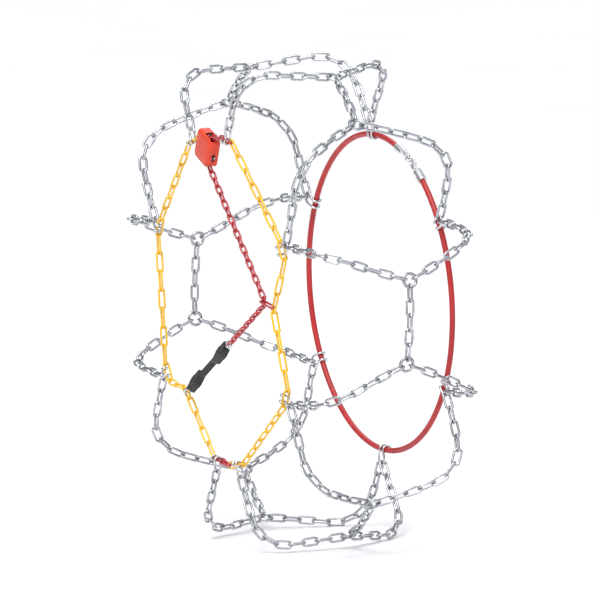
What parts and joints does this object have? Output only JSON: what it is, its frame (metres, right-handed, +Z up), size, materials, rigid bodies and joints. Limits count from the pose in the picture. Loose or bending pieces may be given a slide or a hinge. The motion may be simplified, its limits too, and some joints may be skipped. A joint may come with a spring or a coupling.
{
  "type": "tire snow chain",
  "caption": "Diamond-pattern snow chain for one tyre, in its fitted shape, with side chain, hooks, chain lock and rubber tensioner.",
  "frame": {"origin": "centre of the wheel that the chain is fitted to, on the wheel axis and in the mid plane of the tread", "axes": "+X right and +Z up in the plane of the wheel, seen from its outer face; -Y out of the outer face, +Y towards the vehicle"},
  "size_m": [0.6914, 0.2626, 0.6708],
  "materials": {
    "cross_chain_zinc": "bright zinc plating, slightly dull on the worn crowns",
    "hook_wire": "bright zinc-plated wire",
    "side_chain_yellow": "glossy yellow lacquer",
    "tension_chain_red": "glossy red lacquer",
    "rope_steel": "bare steel rope",
    "sheath_red": "soft plastic tube",
    "fitting_steel": "zinc-plated crimped and forged steel",
    "lock_housing_orange": "moulded, fine grain",
    "lock_steel": "plain steel",
    "roller_black": "glass-filled nylon",
    "pawl_dark_steel": "hardened steel",
    "spring_steel": "spring wire",
    "screw_steel": "zinc-plated",
    "tensioner_rubber": "black moulded rubber"
  },
  "bodies": {
    "net": {"tread_chain_1": "cross_chain_zinc", "tread_chain_2": "cross_chain_zinc", "tread_chain_3": "cross_chain_zinc", "tread_chain_4": "cross_chain_zinc", "tread_chain_5": "cross_chain_zinc", "tread_chain_6": "cross_chain_zinc", "outer_cross_chains_1": "cross_chain_zinc", "outer_cross_chains_2": "cross_chain_zinc", "outer_cross_chains_3": "cross_chain_zinc", "outer_cross_chains_4": "cross_chain_zinc", "outer_cross_chains_5": "cross_chain_zinc", "outer_cross_chains_6": "cross_chain_zinc", "inner_cross_chains_1": "cross_chain_zinc", "inner_cross_chains_2": "cross_chain_zinc", "inner_cross_chains_3": "cross_chain_zinc", "inner_cross_chains_4": "cross_chain_zinc", "inner_cross_chains_5": "cross_chain_zinc", "inner_cross_chains_6": "cross_chain_zinc", "outer_side_hooks": "hook_wire", "inner_side_hooks": "hook_wire", "side_chain_right": "side_chain_yellow", "side_chain_left": "side_chain_yellow", "closing_links": "tension_chain_red", "cable_rope": "rope_steel", "cable_sheath": "sheath_red", "cable_end_fittings": "fitting_steel", "lock_front_cover": "lock_housing_orange", "lock_rear_cover": "lock_housing_orange", "lock_frame_plates": "lock_steel", "lock_roller_pin": "lock_steel", "lock_anchor_pin": "lock_steel", "lock_pawl_pin": "lock_steel", "lock_pawl_spring": "spring_steel", "lock_screws": "screw_steel", "tension_chain_entry": "tension_chain_red", "tension_chain_lock": "tension_chain_red", "tension_chain_upper": "tension_chain_red", "guide_ring": "tension_chain_red"},
    "tread_ring_1_body": {"tread_ring_1": "cross_chain_zinc"},
    "tread_ring_2_body": {"tread_ring_2": "cross_chain_zinc"},
    "tread_ring_3_body": {"tread_ring_3": "cross_chain_zinc"},
    "tread_ring_4_body": {"tread_ring_4": "cross_chain_zinc"},
    "tread_ring_5_body": {"tread_ring_5": "cross_chain_zinc"},
    "tread_ring_6_body": {"tread_ring_6": "cross_chain_zinc"},
    "tread_ring_7_body": {"tread_ring_7": "cross_chain_zinc"},
    "tread_ring_8_body": {"tread_ring_8": "cross_chain_zinc"},
    "tread_ring_9_body": {"tread_ring_9": "cross_chain_zinc"},
    "tread_ring_10_body": {"tread_ring_10": "cross_chain_zinc"},
    "tread_ring_11_body": {"tread_ring_11": "cross_chain_zinc"},
    "tread_ring_12_body": {"tread_ring_12": "cross_chain_zinc"},
    "roller": {"lock_roller": "roller_black"},
    "pawl": {"lock_pawl": "pawl_dark_steel"},
    "tensioner": {"tension_chain_lower": "tension_chain_red", "tensioner_eye": "hook_wire", "tensioner_strap": "tensioner_rubber", "tensioner_hook": "hook_wire"},
    "closing_latch": {"closing_hook": "tension_chain_red"},
    "cable_latch": {"cable_hook": "fitting_steel"}
  },
  "joints": [
    {"name": "tread_ring_01_spin", "type": "hinge", "parent": "net", "child": "tread_ring_1_body", "pos_m": [0.11789, 0.009, 0.31784], "axis": [0.3478, 0, 0.9376], "continuous": true},
    {"name": "tread_ring_02_spin", "type": "hinge", "parent": "net", "child": "tread_ring_2_body", "pos_m": [0.21631, -0.009, 0.26102], "axis": [0.6381, 0, 0.77], "continuous": true},
    {"name": "tread_ring_03_spin", "type": "hinge", "parent": "net", "child": "tread_ring_3_body", "pos_m": [0.3342, 0.0045, 0.05683], "axis": [0.9859, 0, 0.1676], "continuous": true},
    {"name": "tread_ring_04_spin", "type": "hinge", "parent": "net", "child": "tread_ring_4_body", "pos_m": [0.3342, -0.0045, -0.05683], "axis": [0.9859, 0, -0.1676], "continuous": true},
    {"name": "tread_ring_05_spin", "type": "hinge", "parent": "net", "child": "tread_ring_5_body", "pos_m": [0.21631, -0.0045, -0.26102], "axis": [0.6381, 0, -0.77], "continuous": true},
    {"name": "tread_ring_06_spin", "type": "hinge", "parent": "net", "child": "tread_ring_6_body", "pos_m": [0.11789, 0.0045, -0.31784], "axis": [0.3478, 0, -0.9376], "continuous": true},
    {"name": "tread_ring_07_spin", "type": "hinge", "parent": "net", "child": "tread_ring_7_body", "pos_m": [-0.11789, -0.009, -0.31784], "axis": [-0.3478, 0, -0.9376], "continuous": true},
    {"name": "tread_ring_08_spin", "type": "hinge", "parent": "net", "child": "tread_ring_8_body", "pos_m": [-0.21631, 0.009, -0.26102], "axis": [-0.6381, 0, -0.77], "continuous": true},
    {"name": "tread_ring_09_spin", "type": "hinge", "parent": "net", "child": "tread_ring_9_body", "pos_m": [-0.3342, -0.0045, -0.05683], "axis": [-0.9859, 0, -0.1676], "continuous": true},
    {"name": "tread_ring_10_spin", "type": "hinge", "parent": "net", "child": "tread_ring_10_body", "pos_m": [-0.3342, 0.0045, 0.05683], "axis": [-0.9859, 0, 0.1676], "continuous": true},
    {"name": "tread_ring_11_spin", "type": "hinge", "parent": "net", "child": "tread_ring_11_body", "pos_m": [-0.21631, 0.0045, 0.26102], "axis": [-0.6381, 0, 0.77], "continuous": true},
    {"name": "tread_ring_12_spin", "type": "hinge", "parent": "net", "child": "tread_ring_12_body", "pos_m": [-0.11789, -0.0045, 0.31784], "axis": [-0.3478, 0, 0.9376], "continuous": true},
    {"name": "lock_roller_spin", "type": "hinge", "parent": "net", "child": "roller", "pos_m": [-0.02863, -0.118, 0.21939], "axis": [0, 1, 0], "continuous": true},
    {"name": "lock_pawl_release", "type": "hinge", "parent": "net", "child": "pawl", "pos_m": [-0.02061, -0.118, 0.20126], "axis": [0, 1, 0], "range_deg": [0, 20], "stiffness_Nm_per_rad": 0.03, "springref_deg": -22.92},
    {"name": "tensioner_swing", "type": "hinge", "parent": "net", "child": "tensioner", "pos_m": [0.12823, -0.118, 0.01272], "axis": [-0.4898, 0, 0.8718], "range_deg": [0, 50]},
    {"name": "closing_hook_swing", "type": "hinge", "parent": "net", "child": "closing_latch", "pos_m": [-0.00897, -0.118, -0.2185], "axis": [-0.0915, 0, -0.9958], "range_deg": [0, 60]},
    {"name": "cable_hook_swing", "type": "hinge", "parent": "net", "child": "cable_latch", "pos_m": [0.10665, 0.1245, 0.19553], "axis": [0.5, 0, 0.866], "range_deg": [0, 60]}
  ]
}
